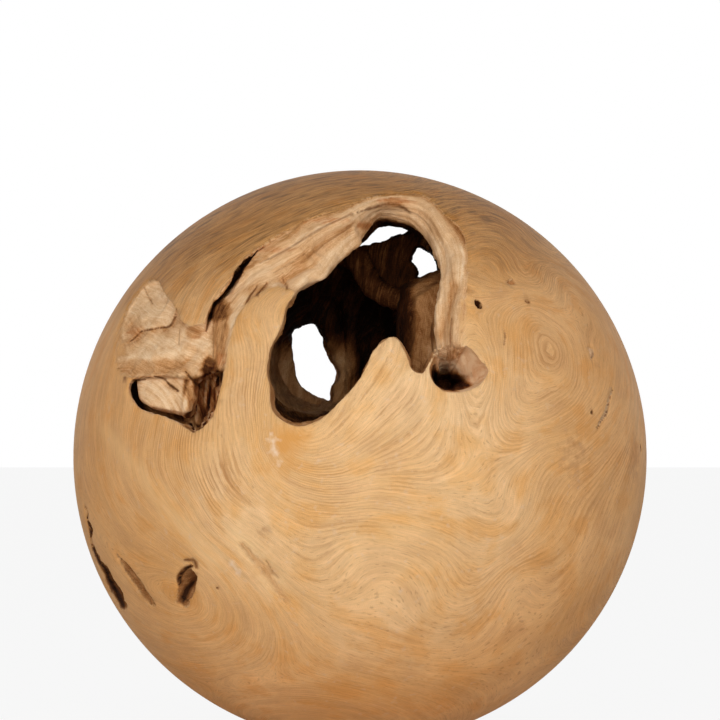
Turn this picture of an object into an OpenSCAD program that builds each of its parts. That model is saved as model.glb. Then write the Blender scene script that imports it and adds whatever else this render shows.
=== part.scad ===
// Hollow ball turned from the root stump of a hardwood tree.
// The rotted heart of the root is left as it grew: a torn mouth in the upper
// front opens into a deep hollow that breaks through the back of the ball in
// three windows. A shallow recess and a smaller void lie beside the mouth.
//
// Frame: origin at the centre of the ball, +Z up, the mouth faces -Y.
// A place on the front of the skin is given as [x, z], in millimetres, and
// is projected along Y on to the ball. Outlines are drawn on a ball of
// radius drawn_r and travel with the skin when the ball changes size.

/* [Ball] */
// Diameter of the turned ball
ball_d = 400; // [330:5:520]
// Wall left between the hollow and the turned skin
wall = 24; // [14:1:34]

/* [Mouth] */
// Width of the torn mouth, from the slit to the right rim
mouth_w = 174; // [130:1:220]
// Height of the torn mouth, from the lower lip to the top rim
mouth_h = 159; // [120:1:190]
// Height of the small step from the skin down to the torn ledge
ledge_step = 3; // [1:0.5:8]
// Fall of the ledge, from the skin to its inner rim over the hollow
ledge_fall = 38; // [20:1:55]

/* [Hollow] */
// Width of the hollow behind the mouth
hollow_w = 138; // [100:1:180]
// Height of the hollow behind the mouth
hollow_h = 162; // [110:1:190]

/* [Back windows] */
// Width of the large window, low on the left
low_window_w = 38; // [20:1:60]
// Height of the large window
low_window_h = 61; // [30:1:80]
// Width of the window under the top rim
top_window_w = 41; // [20:1:60]
// Height of the window under the top rim
top_window_h = 19; // [8:1:30]
// Width of the window on the right
right_window_w = 22; // [10:1:34]
// Height of the window on the right
right_window_h = 26; // [10:1:40]

/* [Pocket] */
// Width of the pocket at the right end of the ledge
pocket_w = 39; // [20:1:60]
// Depth of the pocket below the skin
pocket_depth = 85; // [40:1:110]

/* [Slit] */
// Width of the slit between the skin and the torn ledge
slit_w = 4; // [1:0.5:8]
// Depth of the slit below the skin
slit_depth = 30; // [12:1:50]

/* [Side recess] */
// Width of the rough recess on the left
recess_w = 71; // [40:1:90]
// Height of the recess
recess_h = 72; // [40:1:90]
// Depth of the recess below the skin
recess_depth = 8; // [3:0.5:16]

/* [Side void] */
// Width of the void below the recess
void_w = 65; // [40:1:90]
// Height of the void
void_h = 41; // [24:1:60]
// Depth of the void below the skin
void_depth = 48; // [30:1:70]
// Depth of the inner root that shows in the void
root_drop = 15; // [8:1:24]

/* [Cracks and small holes] */
// Width of a drying crack at the skin
crack_w = 2.4; // [1:0.2:5]
// Depth of a drying crack
crack_depth = 12; // [4:1:24]
// Width of a small knot hole
knot_w = 5; // [2:0.5:10]
// Depth of a small knot hole
knot_depth = 12; // [4:1:24]

/* [Hidden] */

wood = "#cfa36c";
ball_r = ball_d / 2;
drawn_r = 200;
grow = ball_r / drawn_r;
// Height that every cut stands clear of the skin
air = 12;
// Points that a smooth loop gets between two drawn points
steps = 3;

// ---- Points, loops and places on the skin ----

function at(list, i) = list[(i + len(list)) % len(list)];

function spline(a, b, c, d, t) =
    0.5 * (2 * b + (c - a) * t + (2 * a - 5 * b + 4 * c - d) * t * t
        + (3 * b - a - 3 * c + d) * t * t * t);

// Closed smooth curve through the drawn points
function smooth_loop(p, n = steps) =
    [for (i = [0 : len(p) - 1], k = [0 : n - 1])
        spline(at(p, i - 1), at(p, i), at(p, i + 1), at(p, i + 2), k / n)];

// Open smooth curve through the drawn points
function smooth_path(p, n = steps) =
    concat([for (i = [0 : len(p) - 2], k = [0 : n - 1])
        spline(p[max(i - 1, 0)], p[i], p[i + 1], p[min(i + 2, len(p) - 1)], k / n)],
        [p[len(p) - 1]]);

function column(list, i) = [for (row = list) row[i]];

function middle(p) =
    [for (i = [0 : len(p[0]) - 1]) (min(column(p, i)) + max(column(p, i))) / 2];

function extent(p, i) = max(column(p, i)) - min(column(p, i));

// Moves drawn points with the skin, then fits them to a width and a height
function fitted(p, mid, drawn, size) =
    [for (q = p) [for (i = [0 : 1]) mid[i] * grow + (q[i] - mid[i]) * size[i] / drawn[i]]];

function fit_outline(p, w, h) = fitted(p, middle(p), [extent(p, 0), extent(p, 1)], [w, h]);

// Point of the front skin over [x, z]; past the rim it stays on the rim
function on_skin(p) =
    let (rim = min(1, 0.999 * ball_r / norm(p)), q = p * rim)
    [q[0], -sqrt(ball_r * ball_r - q * q), q[1]];

// Point a given depth straight down below the skin
function below(p, depth) = on_skin(p) * (1 - depth / ball_r);

// Point a given depth behind the skin, measured along Y
function behind(p, depth) = on_skin(p) + [0, depth, 0];

// Keeps a point of the hollow inside the wall
function in_wall(p) = p * min(1, (ball_r - wall) / norm(p));

// ---- Solids from rings ----

function unit(v) = v / norm(v);

function mean(ring) = [for (i = [0 : 2]) (column(ring, i) * [for (q = ring) 1]) / len(ring)];

// Closed solid through rings of equal length, fanned shut at both ends
module loft(rings) {
    n = len(rings[0]);
    m = len(rings);
    points = concat([for (ring = rings, q = ring) q], [mean(rings[0]), mean(rings[m - 1])]);
    sides = [for (j = [0 : m - 2], i = [0 : n - 1], half = [0, 1])
        let (a = j * n + i, b = j * n + (i + 1) % n)
        half == 0 ? [a, a + n, b] : [b, a + n, b + n]];
    front = [for (i = [0 : n - 1]) [m * n, i, (i + 1) % n]];
    back = [for (i = [0 : n - 1]) [m * n + 1, (m - 1) * n + (i + 1) % n, (m - 1) * n + i]];
    polyhedron(points, concat(sides, front, back), convexity = 8);
}

// Scales an outline about its foot point
function shrunk(outline, foot, share) = [for (q = outline) foot + (q - foot) * share];

// Hole straight down into the skin, shaped by a profile
module pit(outline, foot, depth, profile) {
    loft(concat([[for (q = outline) below(q, -air / 2)]], [for (level = profile)
        [for (q = shrunk(outline, foot, level[1])) below(q, level[0] * depth)]]));
}

// The same, but sunk straight back along Y, so that its side walls hide behind the skin
module pit_back(outline, foot, depth, profile) {
    front = -ball_r - air / 2;
    loft(concat([[for (q = outline) [q[0], front, q[1]]]], [for (level = profile)
        [for (q = shrunk(outline, foot, level[1])) behind(q, level[0] * depth)]]));
}

// ---- Mouth ----

// Rows clockwise from the side void, round the top, down to the pocket:
// [outer x, outer z, inner x, inner z, step outside, share of fall, share of slit]
ledge_rows = [
    [-104, 54, -90, 46, 22, 0.6, 0],
    [-102, 66, -87, 62, 15, 0.25, 0],
    [-102, 78, -85, 75, 13, 0.1, 0],
    [-101, 91, -81, 89, 12, 0.1, 0.6],
    [-97, 102, -75, 99, 11, 0.1, 1],
    [-87, 114, -66, 107, 9, 0.1, 1],
    [-80, 127, -53, 111, 8, 0.15, 0.8],
    [-72, 134, -41, 111, 7, 0.3, 0.5],
    [-62, 142, -33, 116, 6, 0.45, 0.3],
    [-51, 149, -24, 119, 4, 0.55, 0],
    [-40, 157, -18, 129, 3, 0.7, 0],
    [-27, 162, -9, 137, 3, 0.8, 0],
    [-13, 168, 0, 143, 3, 0.9, 0],
    [0, 173, 6, 154, 3, 1, 0],
    [14, 177, 13, 162, 3, 1, 0],
    [28, 179, 25, 160, 3, 1, 0],
    [41, 179, 37, 156, 3, 0.95, 0],
    [50, 173, 46, 147, 3, 0.85, 0],
    [57, 163, 51, 137, 3, 0.75, 0],
    [64, 157, 54, 130, 3, 0.65, 0],
    [70, 148, 55, 121, 3, 0.6, 0],
    [71, 130, 54, 111, 3, 0.55, 0],
    [70, 103, 51, 97, 3, 0.55, 0],
    [69, 82, 49, 84, 3, 0.6, 0],
    [66, 72, 51, 76, 4, 0.7, 0]];
// First row that borders on the hollow; the rows before it border on standing wood
ledge_corner = 7;
// Part of the ledge's width by which it laps over the hollow
ledge_lap = 0.25;
// Ridge along the ledge, where the torn wood turns from the skin to the hollow:
// its place across the ledge and how far down the fall it lies, as shares
ledge_ridge = 0.4;
ledge_crown = 0.14;
// Slope at the foot of the step, before the slit opens in it
step_slope = 1.5;

// Lower rim, clockwise from the pocket round the tooth and up the pillar
lower_rim = [
    [49, 70], [44, 59], [40, 53], [33, 56], [31, 63], [27, 72], [22, 77], [16, 75],
    [12, 72], [8, 66], [4, 57], [-3, 46], [-13, 35], [-22, 26], [-32, 20.5], [-42, 20],
    [-52, 25], [-57, 32], [-58, 44], [-60, 56], [-58, 70], [-53, 79], [-50, 88],
    [-48, 97], [-44, 104]];

// Middle and size of the mouth as drawn
mouth_mid = [-17, 100];
mouth_drawn = [174, 159];

function on_mouth(p) = fitted(p, mouth_mid, mouth_drawn, [mouth_w, mouth_h]);

ledge_outer = on_mouth([for (row = ledge_rows) [row[0], row[1]]]);
ledge_inner = on_mouth([for (row = ledge_rows) [row[2], row[3]]]);
window_rim = concat([for (i = [ledge_corner : len(ledge_rows) - 1]) ledge_inner[i]],
    on_mouth(lower_rim));
// The mouth is cut straight back to this plane, well inside the hollow
mouth_back = -60 * grow;

module mouth_window() {
    translate([0, mouth_back, 0])
        rotate([90, 0, 0])
            linear_extrude(mouth_back + ball_r + air)
                polygon(smooth_loop(window_rim));
}

// One section of the ledge: the skin edge, the slit that undercuts it, the
// rounded face of the torn wood, and the inner rim that laps into the mouth
function ledge_ring(i) =
    let (row = ledge_rows[i], o = ledge_outer[i], q = ledge_inner[i],
        front = -ball_r - air,
        lap = i < ledge_corner ? 0 : ledge_lap,
        inside = q + (q - o) * lap,
        drop = row[5] * ledge_fall,
        step = max(row[4], ledge_step),
        inward = unit(q - o),
        under = slit_w * row[6],
        gap = step_slope + under,
        slit = step + 1 + (slit_depth - step) * row[6])
    [[o[0], front, o[1]],
        [inside[0], front, inside[1]],
        behind(inside, drop * (1 + lap)),
        behind(q, drop),
        behind(o + (q - o) * ledge_ridge, step + (drop - step) * ledge_crown),
        behind(o + inward * gap, step),
        behind(o + inward * gap * 0.6, slit),
        behind(o - inward * under, slit),
        behind(o, step_slope)];

// Torn band between the skin and the hollow, a swept cut that follows the rim
module torn_ledge() {
    n = len(ledge_rows) - 1;
    rings = [for (i = [0 : n]) ledge_ring(i)];
    loft([for (k = [0 : n * 2])
        let (i = floor(k / 2))
        k % 2 == 0 ? rings[i] : [for (j = [0 : len(rings[0]) - 1])
            spline(rings[max(i - 1, 0)][j], rings[i][j], rings[i + 1][j],
                rings[min(i + 2, n)][j], 0.5)]]);
}

// ---- Hollow ----

// Sections across the hollow, clockwise from the lower left, from front to back
hollow_sections = [
    [-150, [[-48, 18], [-60, 42], [-63, 75], [-56, 104], [-38, 120], [-4, 148],
        [28, 162], [52, 146], [58, 110], [50, 72], [24, 44], [-14, 18]]],
    [-110, [[-52, 14], [-70, 40], [-72, 75], [-64, 110], [-40, 138], [0, 165],
        [35, 170], [60, 150], [64, 110], [54, 70], [30, 38], [-10, 16]]],
    [-60, [[-50, 16], [-72, 42], [-75, 78], [-66, 115], [-42, 145], [0, 172],
        [38, 173], [62, 150], [62, 112], [52, 72], [28, 42], [-10, 20]]],
    [-10, [[-48, 22], [-70, 46], [-74, 80], [-64, 118], [-40, 148], [0, 174],
        [38, 173], [64, 148], [62, 112], [50, 76], [26, 46], [-12, 26]]],
    [40, [[-46, 28], [-68, 50], [-72, 82], [-62, 115], [-38, 145], [0, 168],
        [36, 165], [60, 142], [60, 108], [46, 78], [22, 50], [-14, 32]]],
    [90, [[-44, 34], [-64, 54], [-68, 82], [-58, 110], [-38, 133], [-6, 142],
        [24, 140], [46, 124], [48, 100], [38, 76], [14, 52], [-16, 36]]],
    [150, [[-42, 40], [-58, 56], [-62, 78], [-54, 98], [-36, 112], [-8, 116],
        [10, 110], [22, 100], [24, 88], [20, 72], [6, 54], [-18, 42]]]];
// Middle and size of the hollow as drawn
hollow_mid = [-5, 94];
hollow_drawn = [138, 162];

function on_hollow(p) = fitted(p, hollow_mid, hollow_drawn, [hollow_w, hollow_h]);

module hollow_space() {
    loft([for (section = hollow_sections)
        [for (q = smooth_loop(on_hollow(section[1]), 4))
            in_wall([q[0], section[0] * grow, q[1]])]]);
}

function in_hollow(p) =
    let (q = on_hollow([[p[0], p[2]]])[0]) [q[0], p[1] * grow, q[1]];

// Thick roots that were left standing in the hollow, drawn like its sections.
// The right root walls off the lower right of the hollow.
right_root_sections = [
    [-78, [[54, -20], [52, 40], [54, 80], [64, 96], [100, 96], [100, -20]]],
    [-70, [[46, -20], [43, 40], [44, 88], [54, 107], [100, 107], [100, -20]]],
    [-58, [[40, -20], [36, 40], [37, 95], [47, 115], [100, 115], [100, -20]]],
    [-42, [[35, -20], [30, 40], [31, 101], [41, 120], [100, 120], [100, -20]]],
    [-16, [[32, -20], [27, 40], [28, 105], [38, 123], [100, 123], [100, -20]]],
    [160, [[34, -20], [30, 40], [30, 108], [38, 126], [100, 126], [100, -20]]]];
// The hanging root fills the upper back between the high windows
hanging_root_sections = [
    [46, [[-10, 150], [-6, 176], [66, 176], [66, 112], [34, 114], [22, 118], [14, 128]]],
    [58, [[-24, 144], [-30, 176], [66, 176], [66, 106], [28, 110], [14, 113], [4, 128]]],
    [170, [[-44, 144], [-60, 190], [70, 190], [70, 106], [30, 114], [14, 118], [2, 132]]]];

// Thin roots: [x, y, z, radius] from end to end, both ends inside the wood.
// This one frames the low window on its right
slender_root_path = [[-14, 136, 22, 17], [-12, 133, 42, 11], [-8, 130, 62, 8.5],
    [-14, 131, 80, 8], [-22, 134, 96, 9], [-32, 138, 112, 13], [-38, 142, 130, 17]];
// Beside it, thinner and more upright
side_root_path = [[2, 118, 34, 10], [-2, 120, 52, 5], [-5, 122, 72, 4], [-7, 123, 92, 4.5],
    [-7, 125, 114, 7], [-4, 126, 142, 14]];
// Rolled lower edge of the hanging root
rolled_edge_path = [[-14, 54, 156, 9], [-3, 46, 144, 8], [3, 41, 132, 7], [10, 38, 121, 6.5],
    [20, 36, 114, 6.5], [33, 34, 111, 7.5], [50, 32, 112, 10]];
// Points round a thin root
rod_points = 12;

module sections(list) {
    loft([for (section = list)
        [for (q = smooth_loop(on_hollow(section[1]), 2)) [q[0], section[0] * grow, q[1]]]]);
}

// Round root of changing thickness along a path, none of it running along Y
module thin_root(path) {
    line = smooth_path(path, 2);
    n = len(line) - 1;
    loft([for (i = [0 : n])
        let (p = in_hollow(line[i]), r = line[i][3] * grow,
            along = in_hollow(line[min(i + 1, n)]) - in_hollow(line[max(i - 1, 0)]),
            side = unit(cross(along, [0, 1, 0])), up = unit(cross(side, along)))
        [for (a = [0 : rod_points - 1])
            p + r * (cos(a * 360 / rod_points) * side + sin(a * 360 / rod_points) * up)]]);
}

module hollow() {
    difference() {
        hollow_space();
        sections(right_root_sections);
        sections(hanging_root_sections);
        thin_root(slender_root_path);
        thin_root(side_root_path);
        thin_root(rolled_edge_path);
    }
}

// ---- Back windows ----

// Each is drawn as it shows from the front, [x, z] at the back skin
low_window = [[-52, 95], [-42, 99], [-34, 99], [-28, 90], [-23, 76], [-16, 67],
    [-16, 60], [-20, 53], [-21, 43], [-28, 44], [-37, 48], [-48, 57], [-51, 72], [-54, 88]];
top_window = [[-3, 154], [3, 162], [10, 170], [18, 173], [28, 172], [33, 171],
    [38, 167], [29, 163], [15, 157]];
right_window = [[37, 145], [41, 155], [44, 157], [52, 153], [58, 146], [57, 131],
    [41, 132], [42, 138]];

// Size at the front end and at the back end of a window cut, against its outline:
// it widens with the view from the mouth, so that all of its back rim shows
window_front = 0.96;
window_end = 1.01;

// Cut that starts in the hollow, at the plane y = from, and leaves through the back
module through_back(outline, w, h, from) {
    rim = smooth_loop(fit_outline(outline, w, h));
    loft([[for (q = rim * window_front) [q[0], from * grow, q[1]]],
        [for (q = rim * window_end) [q[0], ball_r + air, q[1]]]]);
}

module back_windows() {
    through_back(low_window, low_window_w, low_window_h, 120);
    through_back(top_window, top_window_w, top_window_h, 30);
    through_back(right_window, right_window_w, right_window_h, 30);
}

// ---- Pocket, recess and void ----

// A profile row of a pit gives [share of its depth, scale of its outline there]
pocket_profile = [[0.12, 0.98], [0.4, 0.86], [0.75, 0.75], [1, 0.5]];
recess_profile = [[-1, 1], [0.6, 0.97], [0.85, 0.8], [1, 0.4]];
void_profile = [[0.2, 1.02], [0.7, 1.05], [1, 0.8]];
inner_root_profile = [[0.88, 1], [0.98, 1.4], [1, 2], [1, 8]];
knot_profile = [[0.3, 0.9], [1, 0.4]];

pocket_rim = [[52, 79], [66, 73], [72, 70], [79, 62], [84, 56], [79, 47], [70, 43],
    [62, 41], [52, 43], [46, 50], [45, 58], [49, 69]];

pocket_foot = [58, 46];

// Sinks down behind its lower lip as it goes in
module pocket() {
    rim = smooth_loop(fit_outline(pocket_rim, pocket_w, extent(pocket_rim, 1)), 2);
    pit_back(rim, pocket_foot * grow, pocket_depth, pocket_profile);
}

// The recess lies left of the mouth, the void below it
recess_rim = [[-145, 120], [-137, 120], [-132, 111], [-125, 103], [-119, 91], [-112, 86],
    [-103, 88], [-97, 84], [-97, 69], [-100, 58], [-103, 48], [-122, 51], [-139, 52],
    [-156, 52], [-166, 54], [-168, 66], [-167, 83], [-163, 93], [-155, 109]];

// Gain in the depth of its floor for each mm to the right and for each mm up
recess_lean = [0.022, 0.006];

// The floor leans: it lies deepest under the edge towards the mouth
module side_recess() {
    rim = smooth_loop(fit_outline(recess_rim, recess_w, recess_h), 2);
    mid = middle(rim);
    loft([for (level = recess_profile)
        [for (q = shrunk(rim, mid, level[1]))
            below(q, level[0] < 0 ? -air : recess_depth * level[0] * (1 + (q - mid) * recess_lean))]]);
}

void_rim = [[-127, 53], [-111, 50], [-103, 54], [-88, 57], [-91, 44], [-94, 31],
    [-100, 21], [-108, 16], [-114, 19], [-125, 25], [-135, 28], [-144, 31], [-149, 36],
    [-153, 45], [-148, 52]];

// Pale root inside the void, a gap away from its left and lower rim
inner_root_rim = [[-148, 66], [-106, 66], [-108, 48], [-110, 36], [-113, 27], [-126, 30],
    [-137, 34], [-145, 43]];

module side_void() {
    rim = smooth_loop(fit_outline(void_rim, void_w, void_h), 2);
    root = smooth_loop([for (q = inner_root_rim) q * grow], 2);
    difference() {
        pit_back(rim, middle(rim), void_depth, void_profile);
        loft([for (level = inner_root_profile)
            [for (q = shrunk(root, middle(root), level[0])) behind(q, root_drop * level[1])]]);
    }
}

// ---- Cracks, knot holes and the dent ----

// Width left at the two ends of a crack, as a share
crack_end = 0.1;

// Wedge-shaped crack along a path on the skin, closed at both ends
module crack(path, w, depth) {
    line = [for (q = smooth_path([for (p = path) p * grow])) on_skin(q)];
    n = len(line) - 1;
    loft([for (i = [0 : n])
        let (p = line[i], along = line[min(i + 1, n)] - line[max(i - 1, 0)],
            side = unit(cross(along, p)) * w / 2 * (crack_end + sin(180 * i / n)),
            top = p * (1 + w / ball_r))
        [top - side, top + side, p * (1 - depth / ball_r)]]);
}

// Oval hole that narrows with depth; turn leans it clockwise
module knot_hole(p, w, h, turn, depth) {
    oval = [for (a = [0 : 30 : 330])
        let (u = sin(a) * w / 2, v = cos(a) * h / 2)
        p * grow + [u * cos(turn) + v * sin(turn), v * cos(turn) - u * sin(turn)]];
    pit(oval, p * grow, depth, knot_profile);
}

module cracks() {
    crack([[171, 46], [168, 38], [166, 31], [160, 20]], crack_w, crack_depth);
    crack([[-189, -34], [-187, -40], [-187, -46], [-185, -52]], crack_w, crack_depth);
    crack([[-184, -57], [-182, -64], [-179, -73], [-174, -83], [-169, -94], [-163, -107]],
        3 * crack_w, 1.5 * crack_depth);
    crack([[-166, -65], [-161, -73], [-154, -82], [-146, -92], [-139, -99]],
        3 * crack_w, 0.4 * crack_depth);
    crack([[-78, -55], [-68, -63], [-58, -72], [-52, -82], [-46, -94]],
        3.5 * crack_w, 0.15 * crack_depth);
}

module knot_holes() {
    knot_hole([78, 100], knot_w, 1.6 * knot_w, -25, knot_depth);
    knot_hole([155, 70], 0.8 * knot_w, 1.6 * knot_w, -20, 0.5 * knot_depth);
    knot_hole([101, 116], 1.6 * knot_w, knot_w, 0, 0.25 * knot_depth);
    knot_hole([-114, -85], 2.6 * knot_w, 5 * knot_w, 15, 1.6 * knot_depth);
}

// Radius, depth and rise of the scoop that makes the dent on the right
dent_r = 45;
dent_depth = 2.6;
dent_rise = 29;

// Shallow dent, where the turning missed the bark side of the root
module dent() {
    rotate([0, -dent_rise, 0])
        translate([ball_r + dent_r - dent_depth, 0, 0])
            sphere(dent_r, $fn = 64);
}

// The turned ball with the rotted heart of the root opened up
module hollow_ball() {
    difference() {
        sphere(ball_r, $fn = 96);
        mouth_window();
        torn_ledge();
        hollow();
        back_windows();
        pocket();
    }
}

module ball() {
    color(wood)
        difference() {
            hollow_ball();
            side_recess();
            side_void();
            cracks();
            knot_holes();
            dent();
        }
}

ball();
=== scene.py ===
import math

import bpy
import numpy as np
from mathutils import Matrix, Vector


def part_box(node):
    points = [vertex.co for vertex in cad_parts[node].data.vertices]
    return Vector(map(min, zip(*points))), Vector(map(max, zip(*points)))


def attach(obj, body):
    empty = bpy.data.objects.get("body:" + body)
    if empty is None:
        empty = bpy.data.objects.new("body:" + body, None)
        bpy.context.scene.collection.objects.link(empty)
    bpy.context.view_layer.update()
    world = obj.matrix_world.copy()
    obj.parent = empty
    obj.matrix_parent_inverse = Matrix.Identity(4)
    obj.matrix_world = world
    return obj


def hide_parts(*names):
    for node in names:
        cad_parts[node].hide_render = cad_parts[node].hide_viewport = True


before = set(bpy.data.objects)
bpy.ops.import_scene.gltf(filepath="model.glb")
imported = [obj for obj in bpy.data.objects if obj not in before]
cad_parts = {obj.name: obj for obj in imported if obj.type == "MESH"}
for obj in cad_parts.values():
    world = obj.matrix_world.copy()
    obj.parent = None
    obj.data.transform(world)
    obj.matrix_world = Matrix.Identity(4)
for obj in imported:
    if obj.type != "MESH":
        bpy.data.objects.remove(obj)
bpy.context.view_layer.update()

# ---- The turned ball ----
# One root stump of teak, dried, turned to a ball on a lathe and sanded. The rot
# holes of the root were left as they grew, so the turned skin breaks off at torn
# rims, and behind them the wood is rough, fibrous and uneven.

MM = 0.001
cad_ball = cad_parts["ball"]
low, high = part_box("ball")
ball_r = (high.z - low.z) / 2 / MM
voxel = 1.25
most_triangles = 196000


def smooth(t):
    """0 below 0, 1 above 1, with a soft start and end between them."""
    t = np.clip(t, 0, 1)
    return t * t * (3 - 2 * t)


def noise(p, seed):
    """Smooth noise of about -1 to 1 at the rows of p, one swell to a unit."""
    cell = np.floor(p).astype(np.int64)
    inside = p - cell
    fade = inside ** 3 * (inside * (inside * 6 - 15) + 10)
    total = np.zeros(len(p))
    for corner in np.ndindex(2, 2, 2):
        at = cell + corner
        code = at[:, 0] * 374761393 + at[:, 1] * 668265263 + at[:, 2] * 1442695041 + seed * 97477
        code = (code ^ (code >> 13)) * 1274126177 & 0x7FFFFFFF
        code = code ^ (code >> 15)
        slope = np.stack([code & 255, code >> 8 & 255, code >> 16 & 255], 1) / 127.5 - 1
        share = np.where(corner, fade, 1 - fade).prod(1)
        total += share * (slope * (inside - corner)).sum(1)
    return total * 1.3


def rough(p, seed, layers):
    """Noise with finer and fainter layers on top of it."""
    return sum(noise(p * 2 ** k, seed + k) / 2 ** k for k in range(layers))


def ridged(p, seed):
    """Noise with sharp crests and wide troughs, as torn fibres have."""
    return 1 - 2 * np.abs(noise(p, seed)) ** 0.7


def points_of(mesh):
    """The corners of a mesh in millimetres."""
    flat = np.empty(len(mesh.vertices) * 3)
    mesh.vertices.foreach_get("co", flat)
    return flat.reshape(-1, 3) / MM


def set_points(mesh, p):
    mesh.vertices.foreach_set("co", (p * MM).ravel())
    mesh.update()


def outward(mesh):
    """The way that each corner of a mesh faces."""
    flat = np.empty(len(mesh.vertices) * 3)
    mesh.vertex_normals.foreach_get("vector", flat)
    return flat.reshape(-1, 3)


def depth_of(p):
    """How far each point lies below the turned skin."""
    return ball_r - np.linalg.norm(p, axis=1)


def behind_skin(p):
    """How far each point lies behind the front skin, measured along Y."""
    return p[:, 1] + np.sqrt(np.maximum(ball_r ** 2 - p[:, 0] ** 2 - p[:, 2] ** 2, 0))


def on_front(x, z):
    """The point of the front skin over [x, z]."""
    return [x, -math.sqrt(max(0.0, ball_r ** 2 - x * x - z * z)), z]


def rounded(line, parts=3):
    """A smooth line through the points, with that many parts between two of them."""
    points = np.array(line, float)
    ends = np.vstack([2 * points[0] - points[1], points, 2 * points[-1] - points[-2]])
    a, b, c, d = (ends[k:len(ends) - 3 + k, None] for k in range(4))
    t = (np.arange(parts) / parts)[None, :, None]
    curve = b + 0.5 * t * (c - a + t * (2 * a - 5 * b + 4 * c - d + t * (3 * (b - c) + d - a)))
    return np.vstack([curve.reshape(-1, points.shape[1]), points[-1:]])


def off_line(p, line):
    """The way along the line, the gap to it, its side (1 is left) and the nearest part."""
    best = np.full(len(p), 1e9)
    way, side, part = np.zeros(len(p)), np.ones(len(p)), np.zeros(len(p), int)
    travelled = 0
    for k, (start, step) in enumerate(zip(line[:-1], np.diff(line, axis=0))):
        length = np.linalg.norm(step)
        away = p - start
        share = np.clip(away @ step / length ** 2, 0, 1)
        gap = np.linalg.norm(away - share[:, None] * step, axis=1)
        near = gap < best
        best = np.where(near, gap, best)
        way = np.where(near, travelled + share * length, way)
        side = np.where(near, np.sign(step[0] * away[:, -1] - step[-1] * away[:, 0]), side)
        part = np.where(near, k, part)
        travelled += length
    return way, best, side, part


def applied(thing):
    """Swaps an object's mesh for the one that its modifiers make."""
    graph = bpy.context.evaluated_depsgraph_get()
    mesh = bpy.data.meshes.new_from_object(thing.evaluated_get(graph))
    thing.modifiers.clear()
    thing.data = mesh
    return mesh


ball = bpy.data.objects.new("turned_ball", cad_ball.data.copy())
bpy.context.scene.collection.objects.link(ball)
ball.data.materials.clear()
weld = ball.modifiers.new("weld", "WELD")
weld.merge_threshold = 0.00001
even = ball.modifiers.new("even", "REMESH")
even.mode = "VOXEL"
even.voxel_size = voxel * MM
mesh = applied(ball)
p = points_of(mesh)

# The rims wander a little, as rot and torn fibres leave them
on_skin = smooth((1.4 - depth_of(p)) / 0.9)
p += 0.9 * np.stack([noise(p / 13, seed) for seed in (1, 2, 3)], 1)
p += 0.5 * np.stack([noise(p / 4.5, seed) for seed in (4, 5, 6)], 1)
turned = p * (ball_r / np.linalg.norm(p, axis=1))[:, None]
p += (turned - p) * on_skin[:, None]
set_points(mesh, p)

# ---- Torn ledge, recess, void and hollow ----
# Where the root had rotted or was torn, its raw fibres lie open: a broad band
# round the mouth, a flat recess and a void on the left, and old dark walls inside,
# painted darker still as painted shade.

# Middle of the torn ledge: [x, z, half of its width], from the void round the top to the pocket
ledge_rows = np.array([
    [-97, 50, 8], [-94, 64, 8], [-93, 77, 9], [-91, 90, 10], [-86, 101, 11], [-77, 111, 11],
    [-67, 119, 15], [-57, 123, 19], [-47, 129, 19], [-38, 134, 20], [-29, 143, 20], [-18, 150, 16],
    [-7, 156, 14], [3, 164, 10], [13, 170, 8], [26, 170, 10], [39, 168, 12], [48, 160, 13],
    [54, 150, 14], [59, 143, 14], [62, 134, 15], [62, 120, 12], [60, 100, 10], [59, 83, 10],
    [58, 74, 8]], float)
ledge_rows = rounded(ledge_rows, 2)
ledge_line, ledge_half = ledge_rows[:, :2], ledge_rows[:, 2]


def along_ledge(p):
    """The way along the ledge, the place across it (-1 hollow, 1 skin) and the run of the ledge."""
    way, gap, side, part = off_line(p[:, [0, 2]], ledge_line)
    step = np.diff(ledge_line, axis=0)
    step /= np.linalg.norm(step, axis=1)[:, None]
    return way, gap * side / ledge_half[part], step[part]


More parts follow.
